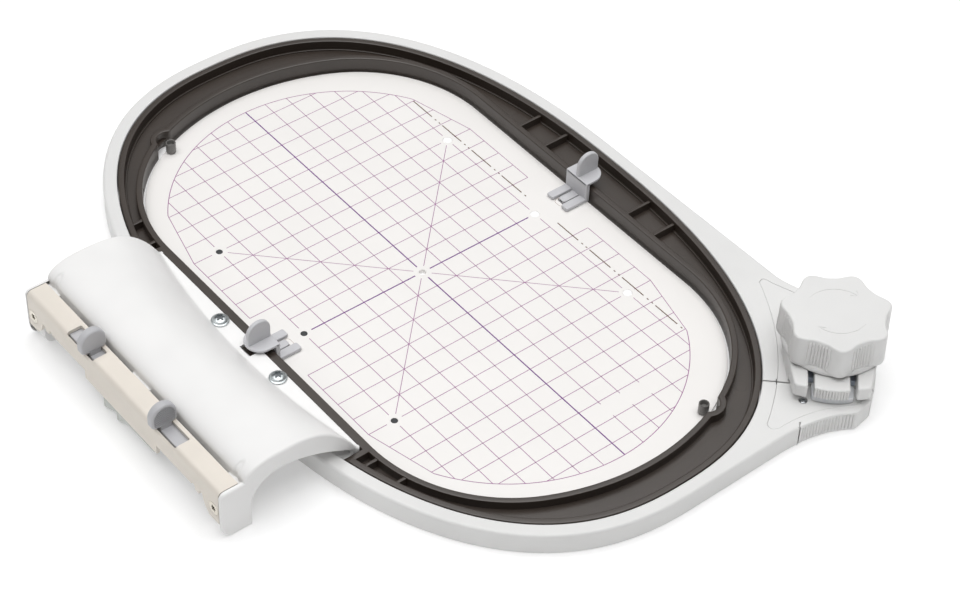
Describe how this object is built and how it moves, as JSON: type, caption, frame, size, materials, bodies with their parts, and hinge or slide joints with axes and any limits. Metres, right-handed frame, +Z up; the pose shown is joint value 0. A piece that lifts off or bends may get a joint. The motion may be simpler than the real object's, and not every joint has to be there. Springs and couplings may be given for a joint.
{
  "type": "machine embroidery hoop",
  "caption": "Oval embroidery hoop: split outer ring with twist clamp, lift-out inner ring, clipped grid template and arched machine coupling with squeeze levers.",
  "frame": {"origin": "middle of the part's box in plan, on the table face below the outer ring", "axes": "+X along the hoop's long side towards the clamp end, +Y across the hoop away from the machine coupling, +Z up"},
  "size_m": [0.3322, 0.2714, 0.035],
  "materials": {
    "white_plastic": "fine satin white",
    "dark_plastic": "satin dark brown",
    "printed_sheet": "smooth sheet with a printed grid",
    "grey_plastic": "satin light grey",
    "tab_plastic": "milky translucent",
    "rail_metal": "fine beige coat",
    "zinc_steel": "bright zinc"
  },
  "bodies": {
    "base": {"outer_ring": "white_plastic", "ear_panel_far": "white_plastic", "ear_panel_near": "white_plastic", "ear_grip": "white_plastic", "clamp_yoke": "white_plastic", "knob_axle": "zinc_steel", "anchor_lug": "white_plastic", "stop_pin": "zinc_steel", "coupling_cover": "white_plastic", "ring_screw_left": "zinc_steel", "ring_screw_right": "zinc_steel", "coupling_rail": "rail_metal", "rail_screw_left": "zinc_steel", "rail_screw_right": "zinc_steel", "code_tab": "tab_plastic", "lever_spring_left": "zinc_steel", "lever_spring_right": "zinc_steel"},
    "lever_left": {"release_lever_left": "grey_plastic"},
    "lever_right": {"release_lever_right": "grey_plastic"},
    "knob": {"twist_knob": "white_plastic", "knob_cam": "grey_plastic"},
    "draw": {"draw_block": "white_plastic"},
    "inner": {"inner_ring": "dark_plastic"},
    "sheet": {"template": "printed_sheet", "template_peg_left": "grey_plastic", "template_peg_right": "grey_plastic", "template_clip_near": "grey_plastic", "template_clip_far": "grey_plastic"}
  },
  "joints": [
    {"name": "inner_ring_lift", "type": "slide", "parent": "base", "child": "inner", "axis": [0, 0, 1], "range_m": [0, 0.06]},
    {"name": "template_lift", "type": "slide", "parent": "inner", "child": "sheet", "axis": [0, 0, 1], "range_m": [0, 0.05]},
    {"name": "knob_turn", "type": "hinge", "parent": "base", "child": "knob", "pos_m": [0.1371, 0.10743, 0.0265], "axis": [0, 0, 1], "range_deg": [0, 180]},
    {"name": "draw_slide", "type": "slide", "parent": "base", "child": "draw", "axis": [0.7254, -0.6884, 0], "range_m": [0, 0.0031]},
    {"name": "lever_left_squeeze", "type": "slide", "parent": "base", "child": "lever_left", "axis": [1, 0, 0], "range_m": [0, 0.0033], "stiffness_N_per_m": 400, "springref_m": -0.004, "deforming": ["lever_spring_left"]},
    {"name": "lever_right_squeeze", "type": "slide", "parent": "base", "child": "lever_right", "axis": [-1, 0, 0], "range_m": [0, 0.0033], "stiffness_N_per_m": 400, "springref_m": -0.004, "deforming": ["lever_spring_right"]}
  ],
  "couplings": [
    {"joint": "draw_slide", "follows": "knob_turn", "m_per_rad": 0.00095493}
  ]
}
